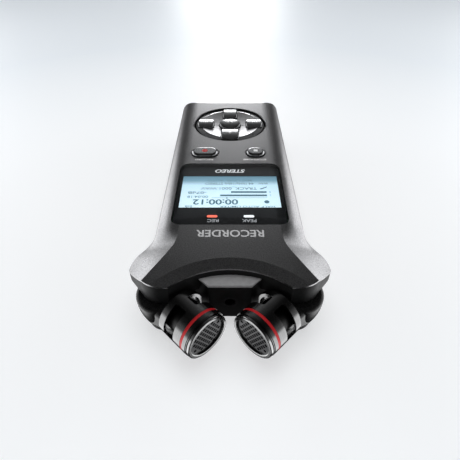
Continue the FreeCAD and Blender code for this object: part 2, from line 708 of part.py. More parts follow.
# ---------------------------------------------------------------- sockets, switch and card cover

def jack_socket(nose_r):
    """3.5 mm socket along +Y with its mouth at the origin."""
    body = block(-4.0, 4.0, -JACK_LENGTH - 0.8, -2.0, -JACK_HALF, JACK_HALF)
    body = body.fuse(rod(0, -2.2, 0, nose_r, 2.2, (0, 1, 0)))
    return body.cut(rod(0, -JACK_LENGTH, 0, JACK_R, JACK_LENGTH + 1, (0, 1, 0)))


def ext_mic_jack():
    socket = jack_socket(2.6)
    socket.translate(vec(0, JACK_BLOCK[2], EXT_JACK_Z))
    return socket


def jack_block():
    """Black housing of the external microphone socket, between the two hubs."""
    near, far, front, back = JACK_BLOCK
    plan = [(near, front), (far, back), (far, TUB_END), (-far, TUB_END), (-far, back), (-near, front)]
    body = extruded(polygon(plan), 3.6, JACK_BLOCK_TOP - 1.0)
    lower = [e for e in edges_at(body, 3.6) if e.BoundBox.YMax > TUB_END + 1]
    body = body.makeFillet(2.2, lower)
    low, high = EXT_JACK_Z - JACK_HALF, EXT_JACK_Z + JACK_HALF
    body = body.cut(block(-4.0, 4.0, front - JACK_LENGTH - 0.8, front - 2.0, low, high))
    body = body.cut(rod(0, front - 2.2, EXT_JACK_Z, 2.6, 4, (0, 1, 0)))
    return body.cut(end_limit(0.0, EAR_ROOF, TOP))


def jack_block_cap():
    near, far, front, back = JACK_BLOCK
    plan = [(near, front), (far, back), (far, 128), (-far, 128), (-far, back), (-near, front)]
    cap = extruded(polygon(plan), JACK_BLOCK_TOP - 1.0, JACK_BLOCK_TOP)
    cap = cap.makeChamfer(0.25, [e for e in edges_at(cap, JACK_BLOCK_TOP) if e.BoundBox.YMin > back - 0.1])
    radius, y, z = CAP_HOLLOW
    return cap.cut(rod(-20, y, z + radius, radius, 40, (1, 0, 0))).cut(end_limit())


def phones_jack():
    socket = jack_socket(2.95)
    socket.rotate(vec(0, 0, 0), vec(0, 0, 1), 90)
    socket.translate(vec(-GRIP_HALF + 0.1, PHONES_Y, PHONES_Z))
    return socket


def power_switch():
    """Ribbed slider standing out of a slot in the left side."""
    knob = side_block(-2.6, 0.8, SWITCH_Y, 2.8, SWITCH_Z - 1.4, SWITCH_Z + 1.4)
    knob = knob.fuse(side_block(-2.6, -2.1, SWITCH_Y, 5.0, SWITCH_Z - 2.3, SWITCH_Z + 2.3))
    for i in (-1, 0, 1):
        knob = knob.cut(side_block(0.45, 2, SWITCH_Y + 1.6 * i, 0.3, 5, 15))
    return mirrored(knob)


def switch_body():
    x0 = -GRIP_HALF + 3.0
    return block(x0, x0 + 3.2, SWITCH_Y - 4.5, SWITCH_Y + 4.5, SWITCH_Z - 2.2, BOARD[0])


def usb_port():
    x1 = GRIP_HALF - 0.5
    shell = block(x1 - 8.8, x1, USB_Y - 3.9, USB_Y + 3.9, 12.5, 16.4)
    shell = shell.cut(block(x1 - 7.6, x1 + 1, USB_Y - 3.5, USB_Y + 3.5, 12.9, 16.0))
    return shell.fuse(block(x1 - 7.8, x1 - 1.2, USB_Y - 2.3, USB_Y + 2.3, 14.6, 15.3))


def card_slot():
    x1 = GRIP_HALF - 2.6
    slot = block(x1 - 14.5, x1, CARD_Y - 7.0, CARD_Y + 7.0, 14.2, 16.6)
    return slot.cut(block(x1 - 13.5, x1 + 1, CARD_Y - 5.6, CARD_Y + 5.6, 14.8, 15.7))


def card_cover_plan(gap):
    """Outline of the card slot's flap in the side wall, with its round hinge edge below."""
    half = 7.6 + gap
    leaf = side_block(-1.2 - gap, 8 * gap, CARD_Y, half, CARD_HINGE_Z, 17.0 + gap)
    return leaf.fuse(rod(GRIP_HALF - 0.6, CARD_Y - half, CARD_HINGE_Z, 0.6 + gap, 2 * half, (0, 1, 0)))


def card_cover():
    cover = card_cover_plan(0.0)
    grip = rod(GRIP_HALF + 0.6, CARD_Y, 16.6, 1.0, 4, (0, 0, 1))
    return cover.cut(grip)


# ---------------------------------------------------------------- right microphone, built on the Z axis

def placed(shape):
    """Turn a shape built along +Z, front plane at z = 0 and body below, into the right microphone."""
    moved = shape.copy()
    moved.rotate(vec(0, 0, 0), vec(1, 0, 0), -90)
    moved.rotate(vec(0, 0, 0), vec(0, 0, 1), 45)
    moved.translate(vec(PIVOT[0] + MIC_REACH * MIC_AXIS[0], RIM_FRONT, MIC_Z))
    return moved


def ring_solid(outer, inner, low, high):
    return rod(0, 0, low, outer, high - low).cut(rod(0, 0, low - 1, inner, high - low + 2))


def mic_rim():
    """Bright front rim, stepped back to a sleeve that goes into the cage."""
    rim = ring_solid(RIM_R, GRILLE_R, -0.95, 0.0)
    rim = rim.makeFillet(0.35, edges_at(rim, 0.0))
    return placed(rim.fuse(ring_solid(7.2, GRILLE_R, -3.0, -0.95)))


def mic_grille():
    """Perforated front grille."""
    disc = rod(0, 0, -1.2, GRILLE_R, 0.45)
    count = int(GRILLE_R / MESH_PITCH)
    half = MESH_HOLE / 2
    holes = []
    for i in range(-count, count + 1):
        for j in range(-count, count + 1):
            x = i * MESH_PITCH
            y = j * MESH_PITCH
            if math.hypot(abs(x) + half, abs(y) + half) < GRILLE_R - 0.25:
                holes.append(block(x - half, x + half, y - half, y + half, -2, 0))
    disc = disc.cut(Part.makeCompound(holes))
    disc.rotate(vec(0, 0, 0), vec(0, 0, 1), MESH_TURN)
    return placed(disc)


def cage_opening(angle):
    """One of the cage's three side openings, the room between two bars."""
    half = math.radians((120 - CAGE_BAR) / 2)
    near = (5.0 * math.cos(half), 5.0 * math.sin(half))
    far = (12.0 * math.cos(half), 12.0 * math.sin(half))
    plan = [(near[0], -near[1]), (far[0], -far[1]), far, near]
    opening = extruded(polygon(plan), *CAGE_OPENING)
    corners = edges_at(opening, CAGE_OPENING[0]) + edges_at(opening, CAGE_OPENING[1])
    opening = opening.makeFillet(0.6, [e for e in corners if abs(e.Length - 7.0) < 0.01])
    opening.rotate(vec(0, 0, 0), vec(0, 0, 1), angle)
    return opening


def mic_cage():
    """Metal body of the microphone: a tube with three openings, closed behind."""
    body = ring_solid(MIC_R, 7.2, -MIC_LENGTH, -1.35)
    body = body.fuse(rod(0, 0, -MIC_LENGTH, 7.4, 1.1))
    body = body.cut(ring_solid(MIC_R + 1, 7.85, *RED_RING))
    body = body.cut(ring_solid(MIC_R + 1, 8.05, -1.7, -1.0))
    for i in range(3):
        body = body.cut(cage_opening(90 + 120 * i))
    return placed(body)


def red_ring():
    return placed(ring_solid(8.2, 7.85, *RED_RING))


def mic_capsule():
    """Inner capsule standing on the cage's rear wall."""
    body = rod(0, 0, -MIC_LENGTH + 1.1, 5.9, 9.4)
    face = ring_solid(6.5, 5.9, -6.4, -4.4)
    return placed(body.fuse(face))


def hub_solid():
    """The arm's hub, narrower towards its rounded foot and rounded along its upper edge."""
    foot = (6.6, 0, HUB_LOW)
    turn = (7.45, 0, HUB_LOW + 0.8)
    brim = (HUB_R, 0, HUB_TOP - 1.6)
    top = (HUB_R - 1.6, 0, HUB_TOP)
    profile = [line((0, 0, HUB_LOW), foot), arc(foot, (7.2, 0, HUB_LOW + 0.25), turn)]
    profile += [arc(turn, (8.5, 0, 9.8), brim), arc(brim, (HUB_R - 0.47, 0, HUB_TOP - 0.47), top)]
    profile += [line(top, (0, 0, HUB_TOP)), line((0, 0, HUB_TOP), (0, 0, HUB_LOW))]
    return Part.Face(Part.Wire(profile)).revolve(vec(0, 0, 0), vec(0, 0, 1), 360)


def along_neck(shape, reach=0.0):
    """Turn a shape built with the neck along +Y from the origin into place on the right arm."""
    shape.rotate(vec(0, 0, 0), vec(0, 0, 1), 45)
    shape.translate(vec(PIVOT[0] + reach * MIC_AXIS[0], PIVOT[1] + reach * MIC_AXIS[1], 0))
    return shape


def neck_section(dims, ahead):
    half, low, high, radius = dims
    wire = Part.Wire(rounded_edges(0, 0, 2 * half, high - low, radius))
    wire.rotate(vec(0, 0, 0), vec(1, 0, 0), -90)
    wire.translate(vec(0, ahead, (low + high) / 2))
    return wire


def mic_arm():
    """Swinging arm: a round hub on the pin, and a neck out to the microphone's rear."""
    x, y = PIVOT
    hub = hub_solid()
    hub.translate(vec(x, y, 0))
    reach = MIC_REACH - MIC_LENGTH
    neck = Part.makeLoft([neck_section(NECK_ROOT, 2.0), neck_section(NECK_END, reach)], True, True)
    arm = hub.fuse(along_neck(neck)).cut(along_neck(block(-20, 20, 0, 20, -20, 40), reach))
    return arm.cut(rod(x, y, HUB_LOW - 1, PIN_R + PIN_FIT, 20))


def microphones():
    pieces = {"mic_arm": mic_arm(), "mic_cage": mic_cage(), "mic_ring": red_ring(), "mic_rim": mic_rim()}
    pieces["mic_grille"] = mic_grille()
    pieces["mic_capsule"] = mic_capsule()
    for name, shape in pieces.items():
        save(name + "_right", shape)
        save(name + "_left", mirrored(shape))


def main():
    os.makedirs("parts", exist_ok=True)
    for make in (front_cover, front_frame, back_cover, jack_block, jack_block_cap, display_window,
                 display_mask, lcd_glass, lcd_frame, pad_ring, pad_plate, keypad_membrane, tact_switches,
                 main_board, battery_door, battery_springs, battery_contacts, case_screws, hinge_pins,
                 tripod_insert, speaker, ext_mic_jack, phones_jack, usb_port, card_slot, card_cover,
                 power_switch, switch_body, play_key):
        save(make.__name__, make())
    save("record_light", light_pipe(RECORD_LIGHT_X))
    save("peak_light", light_pipe(PEAK_LIGHT_X))
    save("battery_cell_right", battery_cell())
    save("battery_cell_left", turned(battery_cell()))
    save("record_key", single_key(RECORD_SIZE))
    save("stop_key", single_key(STOP_SIZE))
    for name in ARROWS:
        save(name, pad_key(name))
    for name in QUADRANTS:
        save(name, quadrant_key(name))
    microphones()
    print("length over the microphones", round(LENGTH, 2))


main()
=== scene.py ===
import json
import math

import bmesh
import bpy
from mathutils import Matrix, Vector
from mathutils.bvhtree import BVHTree


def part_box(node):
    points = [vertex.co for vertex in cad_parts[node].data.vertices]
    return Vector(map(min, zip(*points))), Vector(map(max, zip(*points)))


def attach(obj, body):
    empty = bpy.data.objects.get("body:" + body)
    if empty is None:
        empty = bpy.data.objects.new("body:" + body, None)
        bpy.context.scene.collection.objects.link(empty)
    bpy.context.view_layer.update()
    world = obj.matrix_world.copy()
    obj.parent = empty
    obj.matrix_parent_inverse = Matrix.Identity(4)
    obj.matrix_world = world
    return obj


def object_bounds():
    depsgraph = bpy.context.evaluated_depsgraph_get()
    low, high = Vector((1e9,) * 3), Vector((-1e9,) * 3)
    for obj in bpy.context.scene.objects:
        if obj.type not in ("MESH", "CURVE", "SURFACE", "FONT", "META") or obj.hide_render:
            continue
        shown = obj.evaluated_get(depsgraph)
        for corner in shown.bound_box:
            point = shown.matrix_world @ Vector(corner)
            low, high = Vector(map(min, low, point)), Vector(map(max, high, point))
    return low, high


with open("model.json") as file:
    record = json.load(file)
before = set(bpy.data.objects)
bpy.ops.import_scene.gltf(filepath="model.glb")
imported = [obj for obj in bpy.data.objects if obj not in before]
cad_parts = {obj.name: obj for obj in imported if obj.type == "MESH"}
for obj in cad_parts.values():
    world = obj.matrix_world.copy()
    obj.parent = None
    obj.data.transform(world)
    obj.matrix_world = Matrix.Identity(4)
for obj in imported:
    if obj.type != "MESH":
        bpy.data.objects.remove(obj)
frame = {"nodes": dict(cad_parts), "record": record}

# Looks of a handheld stereo voice recorder. Metres, in the recorder's own frame: X across it,
# Y towards the microphones, Z out of the display.

MM = 0.001
cad_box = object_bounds()
nodes = frame["nodes"]
ROOT = "recorder"

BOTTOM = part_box("front_cover")[0].y
mask_low, mask_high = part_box("display_mask")
lcd_low, lcd_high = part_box("lcd_glass")
record_low, record_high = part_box("record_light")
peak_low, peak_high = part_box("peak_light")

CAMERA_AT = (0, 213.5, 113.7)      # x, distance from the bottom end and height, in millimetres
CAMERA_DOWN = 42.06                # degrees below level
CAMERA_LENS = 28.45                # millimetres, for a sensor 36 mm wide
FLOOR_GAP = 0.0001                 # the floor lies this far under the recorder
TABLE_REACH = 3.0
DOME_R = 2.9


def at(x, y, z):
    """A point in metres from x, distance from the bottom end and height, in millimetres."""
    return Vector((x * MM, BOTTOM + y * MM, z * MM))


# ---------------------------------------------------------------- materials

class Shader:
    """A Principled material with helpers that add procedural detail."""

    def __init__(self, name, color, rough, metal=0.0, **sockets):
        self.material = bpy.data.materials.new(name)
        self.material.use_nodes = True
        self.tree = self.material.node_tree
        self.bsdf = self.tree.nodes["Principled BSDF"]
        self.set("Base Color", (*color, 1.0))
        self.set("Roughness", rough)
        self.set("Metallic", metal)
        for key, value in sockets.items():
            self.set(key.replace("_", " "), value)

    def set(self, socket, value):
        self.bsdf.inputs[socket].default_value = value

    def node(self, kind, **values):
        made = self.tree.nodes.new(kind)
        for key, value in values.items():
            if key in made.inputs:
                made.inputs[key].default_value = value
            else:
                setattr(made, key, value)
        return made

    def link(self, a, b):
        self.tree.links.new(a, b)

    def along(self, axis, low, high):
        """0 to 1 between two places on an axis of the recorder's frame."""
        where = self.node("ShaderNodeTexCoord")
        parts = self.node("ShaderNodeSeparateXYZ")
        self.link(where.outputs["Object"], parts.inputs["Vector"])
        made = self.node("ShaderNodeMapRange")
        made.inputs["From Min"].default_value = low
        made.inputs["From Max"].default_value = high
        self.link(parts.outputs[axis], made.inputs["Value"])
        return made.outputs["Result"]

    def coords(self, stretch=(1, 1, 1), turn=0.0):
        """Object coordinates, in the recorder's frame, turned about Z and then stretched."""
        where = self.node("ShaderNodeTexCoord")
        spin = self.node("ShaderNodeMapping")
        spin.inputs["Rotation"].default_value = (0, 0, turn)
        self.link(where.outputs["Object"], spin.inputs["Vector"])
        scale = self.node("ShaderNodeMapping")
        scale.inputs["Scale"].default_value = stretch
        self.link(spin.outputs["Vector"], scale.inputs["Vector"])
        return scale.outputs["Vector"]

    def noise(self, scale, detail=2.0, stretch=(1, 1, 1), turn=0.0):
        made = self.node("ShaderNodeTexNoise", Scale=scale, Detail=detail)
        self.link(self.coords(stretch, turn), made.inputs["Vector"])
        return made.outputs["Fac"]

    def ramp(self, value, stops):
        made = self.node("ShaderNodeValToRGB")
        elements = made.color_ramp.elements
        while len(elements) < len(stops):
            elements.new(0.5)
        for element, (place, color) in zip(elements, stops):
            element.position = place
            element.color = (*color, 1.0)
        self.link(value, made.inputs["Fac"])
        return made.outputs["Color"]

    def between(self, value, low, high):
        made = self.node("ShaderNodeMapRange")
        made.inputs["To Min"].default_value = low
        made.inputs["To Max"].default_value = high
        self.link(value, made.inputs["Value"])
        return made.outputs["Result"]

    def mottle(self, value, color, dark, light, low=0.3, high=0.75):
        """Base colour between two factors of color, as value goes from low to high."""
        stops = [(low, tinted(color, dark)), (high, tinted(color, light))]
        self.link(self.ramp(value, stops), self.bsdf.inputs["Base Color"])

    def roughness(self, value, low, high):
        self.link(self.between(value, low, high), self.bsdf.inputs["Roughness"])

    def bump(self, value, strength, distance):
        made = self.node("ShaderNodeBump", Strength=strength, Distance=distance)
        self.link(value, made.inputs["Height"])
        self.link(made.outputs["Normal"], self.bsdf.inputs["Normal"])


def shade(value):
    """A grey from one number."""
    return (value, value, value * 1.02)


def tinted(color, factor):
    """A colour made darker or lighter, up to full brightness."""
    return tuple(min(1, c * factor) for c in color)


def cover_paint(name, base, rough):
    """Fine metallic paint: flakes in the colour and a slight orange peel."""
    s = Shader(name, shade(base), rough, 1.0)
    s.mottle(s.noise(2600, 2.0), shade(base), 0.7, 1.32, high=0.7)
    s.roughness(s.noise(160, 3.0), rough - 0.06, rough + 0.06)
    s.bump(s.noise(1900, 2.0), 0.2, 0.00006)
    return s.material


def matt_black(name, base=0.008, rough=0.5):
    """Moulded plastic with a fine spark-eroded texture."""
    s = Shader(name, shade(base), rough, 0.0, Specular_IOR_Level=0.18)
    s.mottle(s.noise(900, 3.0), shade(base), 0.8, 1.3)
    s.roughness(s.noise(300, 3.0), rough - 0.08, rough + 0.1)
    s.bump(s.noise(3400, 2.0), 0.25, 0.00005)
    return s.material


def gloss_black(name, base=0.004, rough=0.12, level=0.35):
    """Piano-black plastic with hair scratches and a trace of dust in its gloss."""
    s = Shader(name, shade(base), rough, 0.0, Specular_IOR_Level=level)
    s.roughness(s.noise(420, 4.0, (1, 0.2, 1), 0.5), rough - 0.05, rough + 0.08)
    s.mottle(s.noise(700, 3.0), shade(base), 0.8, 1.5, 0.35, 0.8)
    s.bump(s.noise(900, 3.0, (1, 0.1, 1), 0.3), 0.03, 0.00002)
    return s.material


def turned_metal(name, color, rough, turn, metal=1.0):
    """Lathe-turned metal: fine rings round the microphone's axis, which lies at turn in the XY plane."""
    s = Shader(name, color, rough, metal)
    rings = s.noise(260, 3.0, (0.02, 40, 0.02), turn)
    s.mottle(rings, color, 0.85, 1.15)
    s.roughness(s.noise(240, 4.0, (0.05, 14, 0.05), turn), rough - 0.06, rough + 0.08)
    s.bump(rings, 0.06, 0.00002)
    return s.material


def plain_metal(name, color, rough):
    """Pressed or plated metal, faintly uneven in tone and gloss."""
    s = Shader(name, color, rough, 1.0)
    s.mottle(s.noise(1400, 3.0), color, 0.82, 1.12)
    s.roughness(s.noise(500, 3.0), rough - 0.07, rough + 0.1)
    s.bump(s.noise(2500, 2.0), 0.08, 0.00002)
    return s.material


def plastic(name, color, rough):
    """Coloured plastic, rubber or lacquer with a fine grain."""
    s = Shader(name, color, rough)
    s.mottle(s.noise(800, 3.0), color, 0.88, 1.1)
    s.roughness(s.noise(350, 3.0), rough - 0.06, rough + 0.08)
    s.bump(s.noise(2200, 2.0), 0.12, 0.00004)
    return s.material


def clear_window(name):
    """Acrylic: clear, with the gloss of its surface only."""
    s = Shader(name, (1, 1, 1), 0.03)
    out = s.tree.nodes["Material Output"]
    clear = s.node("ShaderNodeBsdfTransparent", Color=(0.93, 0.95, 0.96, 1))
    gloss = s.node("ShaderNodeBsdfGlossy", Roughness=0.04)
    mix = s.node("ShaderNodeMixShader")
    fresnel = s.node("ShaderNodeFresnel", IOR=1.49)
    side = s.node("ShaderNodeNewGeometry")
    outside = s.node("ShaderNodeMath", operation="SUBTRACT", use_clamp=True)
    s.link(fresnel.outputs["Fac"], outside.inputs[0])
    s.link(side.outputs["Backfacing"], outside.inputs[1])
    s.link(s.between(s.noise(200, 3.0), 0.03, 0.07), gloss.inputs["Roughness"])
    s.link(outside.outputs["Value"], mix.inputs["Fac"])
    s.link(clear.outputs["BSDF"], mix.inputs[1])
    s.link(gloss.outputs["BSDF"], mix.inputs[2])
    s.link(mix.outputs["Shader"], out.inputs["Surface"])
    s.tree.nodes.remove(s.bsdf)
    return s.material


def glowing(name, color, strength, rough=0.35):
    """The lens of a lit indicator."""
    s = Shader(name, color, rough, 0.0, Emission_Color=(*color, 1.0), Emission_Strength=strength)
    s.mottle(s.noise(900, 2.0), color, 0.9, 1.08, high=0.7)
    s.roughness(s.noise(400, 2.0), rough - 0.05, rough + 0.08)
    return s.material


def lcd_ground_with_painted_shade(name):
    """Backlit display ground: pale blue, with a darker strip of painted shade, the bezel's shadow, at its
    bottom-end side.
    """
    s = Shader(name, (0.3, 0.36, 0.4), 0.35, 0.0, Emission_Strength=0.98)
    # The first stops are painted shade: the bezel's shadow along the display's bottom-end side.
    stops = [(0.08, (0.11, 0.21, 0.27)), (0.2, (0.16, 0.28, 0.35)), (0.33, (0.47, 0.63, 0.70))]
    stops += [(0.6, (0.56, 0.71, 0.77)), (0.95, (0.60, 0.74, 0.79))]
    tone = s.ramp(s.along("Y", lcd_low.y, lcd_high.y), stops)
    s.link(tone, s.bsdf.inputs["Emission Color"])
    s.link(tone, s.bsdf.inputs["Base Color"])
    s.roughness(s.noise(1800, 1.0), 0.3, 0.4)
    return s.material


TURN = {"right": math.radians(-45), "left": math.radians(45)}

MATERIALS = {
    "silver_cover": cover_paint("cover_paint", 0.35, 0.3),
    "black_shell": matt_black("shell_black"),
    "black_gloss": gloss_black("gloss_black"),
    "window_lens": clear_window("window_acrylic"),
    "window_mask": plastic("window_print", (0.012, 0.0125, 0.014), 0.3),
    "lcd": lcd_ground_with_painted_shade("lcd_ground_with_painted_shade"),
    "dark_plastic": matt_black("dark_plastic", 0.02),
    "chrome_trim": plain_metal("chrome_trim", (0.78, 0.79, 0.8), 0.16),
    "silicone": plastic("silicone", (0.32, 0.33, 0.33), 0.6),
    "circuit_board": plastic("solder_mask", (0.01, 0.11, 0.05), 0.35),
    "spring_steel": plain_metal("nickel", (0.7, 0.69, 0.66), 0.25),
    "screw_steel": plain_metal("black_zinc", (0.12, 0.12, 0.125), 0.35),
    "brass": plain_metal("brass", (0.72, 0.53, 0.26), 0.3),
    "socket_black": matt_black("socket_black", 0.012, 0.35),
    "socket_steel": plain_metal("socket_steel", (0.66, 0.66, 0.66), 0.28),
    "black_key": plain_metal("key_chrome", (0.46, 0.465, 0.475), 0.17),
    "silver_key": cover_paint("key_silver", 0.5, 0.3),
    "red_light": glowing("red_light", (0.85, 0.16, 0.1), 0.9),
    "white_light": glowing("white_light", (0.9, 0.92, 0.92), 0.7),
    "cell_label": plastic("cell_sleeve", (0.03, 0.07, 0.16), 0.25),
}
for side, turn in TURN.items():
    MATERIALS["gunmetal_" + side] = turned_metal("gunmetal_" + side, (0.24, 0.24, 0.24), 0.19, turn)
    MATERIALS["bright_metal_" + side] = turned_metal("bright_rim_" + side, (0.36, 0.36, 0.36), 0.16, turn)
    MATERIALS["red_ring_" + side] = turned_metal("red_ring_" + side, (0.46, 0.0092, 0.0138), 0.4, turn, 0.3)
    MATERIALS["dark_metal_" + side] = turned_metal("capsule_" + side, (0.03, 0.03, 0.03), 0.35, turn)
    MATERIALS["grille_metal_" + side] = plain_metal("grille_" + side, (0.085, 0.085, 0.087), 0.3)


def dress_nodes():
    """Give every CAD node its material: its own, or else its slot's."""
    own = {"jack_block_cap": plastic("cap_paint", shade(0.34), 0.38),
           "mic_arm_left": gloss_black("arm_left", 0.006, 0.24, 0.2),
           "mic_arm_right": gloss_black("arm_right", 0.006, 0.24, 0.2)}
    slots = {part["node"]: part["material_slot"] for part in frame["record"]["subparts"]}
    for name, obj in nodes.items():
        slot = slots[name]
        side = name.rsplit("_", 1)[-1]
        material = own.get(name) or MATERIALS.get(slot) or MATERIALS[slot + "_" + side]
        obj.data.materials.clear()
        obj.data.materials.append(material)


# ---------------------------------------------------------------- printed marks

def surface(node):
    """The node's faces, to drop points onto."""
    obj = nodes[node]
    corners = [obj.matrix_world @ v.co for v in obj.data.vertices]
    return BVHTree.FromPolygons(corners, [tuple(face.vertices) for face in obj.data.polygons])


class Print:
    """Thin flat marks gathered into one piece. Places and sizes are in millimetres, as at() takes them."""

    THICK = 0.02
    LIFT = 0.004         # how far draped marks lie above what they are printed on
    ABOVE = 25.0         # height at which marks wait to be draped
    MESH_STEP = 0.5      # longest edge of draped marks
    CLEAR_Z = 0.05       # metres, above every surface

    def __init__(self, z=ABOVE):
        self.maker = bmesh.new()
        self.z = z

    def shape(self, points):
        """A filled outline."""
        low = [self.maker.verts.new(at(x, y, self.z)) for x, y in points]
        high = [self.maker.verts.new(at(x, y, self.z + self.THICK)) for x, y in points]
        self.maker.faces.new(low[::-1])
        self.maker.faces.new(high)
        for i, a in enumerate(low):
            j = (i + 1) % len(low)
            self.maker.faces.new([a, low[j], high[j], high[i]])
        return self

    def bar(self, x0, x1, y0, y1):
        return self.shape([(x0, y0), (x1, y0), (x1, y1), (x0, y1)])

    def disc(self, x, y, radius):
        turns = [2 * math.pi * i / 32 for i in range(32)]
        return self.shape([(x + radius * math.cos(t), y + radius * math.sin(t)) for t in turns])

    def text(self, words, x, y, width, height, bold=0.0, slant=0.0):
        """Words centred on x, y and stretched to fill width and height."""
        data = bpy.data.curves.new("words", "FONT")
        data.body = words
        data.extrude = 0.5
        data.offset = bold
        data.shear = slant
        data.resolution_u = 4
        holder = bpy.data.objects.new("words", data)
        mesh = bpy.data.meshes.new_from_object(holder)
        bpy.data.objects.remove(holder)
        lows = [min(v.co[i] for v in mesh.vertices) for i in range(3)]
        spans = [max(v.co[i] for v in mesh.vertices) - lows[i] for i in range(3)]
        for v in mesh.vertices:
            across, up, out = ((v.co[i] - lows[i]) / spans[i] for i in range(3))
            v.co = at(x + (across - 0.5) * width, y + (up - 0.5) * height, self.z + out * self.THICK)
        self.maker.from_mesh(mesh)
        bpy.data.meshes.remove(mesh)
        return self

    def drape(self, node):
        """Lay the marks on a node's curved top, a hair above it."""
        tree = surface(node)
        for _ in range(3):
            long_edges = [e for e in self.maker.edges if e.calc_length() > self.MESH_STEP * MM]
            bmesh.ops.subdivide_edges(self.maker, edges=long_edges, cuts=1)
        bmesh.ops.triangulate(self.maker, faces=self.maker.faces[:])
        for v in self.maker.verts:
            hit = tree.ray_cast(Vector((v.co.x, v.co.y, self.CLEAR_Z)), Vector((0, 0, -1)))[0]
            v.co.z = hit.z + v.co.z - (self.z - self.LIFT) * MM
        return self

    def finish(self, name, body, slot, material):
        """Make the piece, riding on its body."""
        bmesh.ops.recalc_face_normals(self.maker, faces=self.maker.faces[:])
        mesh = bpy.data.meshes.new(name)
        self.maker.to_mesh(mesh)
        self.maker.free()
        mesh.materials.append(material)
        piece = bpy.data.objects.new(name, mesh)
        bpy.context.scene.collection.objects.link(piece)
        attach(piece, body)


def ink(name, color, rough=0.45, glow=0.0):
    """Screen-printed ink, slightly uneven in tone. glow is an emission: on the display's marks it stands
    for the backlight, on other print it is a painted glow.
    """
    s = Shader(name, color, rough, 0.0, Emission_Color=(*color, 1.0), Emission_Strength=glow)
    s.mottle(s.noise(2400, 3.0), color, 0.86, 1.06, high=0.7)
    s.roughness(s.noise(900, 2.0), rough - 0.08, rough + 0.08)
    return s.material


# The display's words and marks, as parts of its width from the left and of its height from the top.
CLOCK = ("00:00:12", 0.42, 0.87, 0.10, 0.255, 0.02)
SMALL_WORDS = (
    ("00:04:18", 0.72, 0.93, 0.30, 0.37, 0.01),
    ("-07dB", 0.74, 0.93, 0.42, 0.5, 0.02),
    ("L", 0.085, 0.1, 0.345, 0.4, 0.01),
    ("R", 0.085, 0.102, 0.455, 0.51, 0.01),
    ("TRACK_0001.WAV", 0.22, 0.8, 0.555, 0.65, 0.01),
    ("WAV", 0.1, 0.2, 0.73, 0.79, 0.01),
    ("44.1kHz/16bit STEREO", 0.25, 0.76, 0.715, 0.79, 0.01),
    ("MIC LEVEL AUTO", 0.27, 0.74, 0.83, 0.9, 0.02),
    ("HALF AUTO LIMITER", 0.06, 0.6, 0.02, 0.065, 0.01),
    ("0dB", 0.87, 0.94, 0.02, 0.075, 0.01),
)
LEVEL_BARS = ((0.60, 0.375), (0.49, 0.48))      # right end and middle of each bar
LEVEL_HALF = 0.026
BARS_LEFT = 0.125
SCALE_LINE = (0.68, 0.3, 0.308)                 # right end, upper and lower side
PEAK_MARK = ((0.52, 0.28), (0.545, 0.28), (0.5325, 0.325))
PENCIL = ((0.115, 0.66), (0.12, 0.625), (0.18, 0.56), (0.195, 0.585))
LCD_EDGE = 0.9                                  # millimetres left clear round the marks
LCD_FOOT = 1.6
INK_GAP = 0.01                                  # millimetres between a flat surface and its print


def lcd_marks():
    """What the display shows: clock, level bars, file name and settings."""
    half = (lcd_high.x - lcd_low.x) / (2 * MM) - LCD_EDGE
    start = (lcd_low.y - BOTTOM) / MM + LCD_FOOT
    height = (lcd_high.y - BOTTOM) / MM - LCD_EDGE - start
    top = lcd_high.z / MM + INK_GAP

    def u(part):
        return -half + 2 * half * part

    def v(part):
        return start + height * (1 - part)

    def words(page, body, u0, u1, v0, v1, bold):
        page.text(body, u((u0 + u1) / 2), v((v0 + v1) / 2), 2 * half * (u1 - u0), height * (v1 - v0), bold)

    dark = Print(top)
    words(dark, *CLOCK)
    dark.disc(u(0.135), v(0.18), 1.05)
    for end, middle in LEVEL_BARS:
        dark.bar(u(BARS_LEFT), u(end), v(middle + LEVEL_HALF), v(middle - LEVEL_HALF))
    dark.finish("lcd_dark_marks", ROOT, "lcd", ink("lcd_dark", (0.12, 0.24, 0.31), 0.4, 0.25))

    mid = Print(top)
    for row in SMALL_WORDS:
        words(mid, *row)
    line_end, line_high, line_low = SCALE_LINE
    mid.bar(u(BARS_LEFT), u(line_end), v(line_low), v(line_high))
    for outline in (PEAK_MARK, PENCIL):
        mid.shape([(u(right), v(down)) for right, down in outline])
    mid.finish("lcd_small_marks", ROOT, "lcd", ink("lcd_mid", (0.20, 0.33, 0.40), 0.4, 0.35))


def window_marks():
    """Words printed on the mask behind the window."""
    top = mask_high.z / MM + INK_GAP
    record_x = (record_low.x + record_high.x) / (2 * MM)
    peak_x = (peak_low.x + peak_high.x) / (2 * MM)
    label_y = (record_high.y - BOTTOM) / MM + 1.95
    page = Print(top)
    page.text("REC", record_x - 0.4, label_y, 4.4, 1.7, 0.015)
    page.text("PEAK", peak_x, label_y, 5.6, 1.7, 0.015)
    # The grey label ink glows a little: a painted glow.
    page.finish("light_labels", ROOT, "window_mask", ink("label_grey", (0.5, 0.51, 0.53), 0.45, 0.1))
    page = Print(top)
    page.text("STEREO", 0, (mask_low.y - BOTTOM) / MM + 3.6, 13.4, 2.7, 0.03, 0.2)
    # The white ink glows: a painted glow that brightens the word.
    page.finish("model_word", ROOT, "window_mask", ink("label_white", (0.8, 0.81, 0.82), 0.45, 0.3))


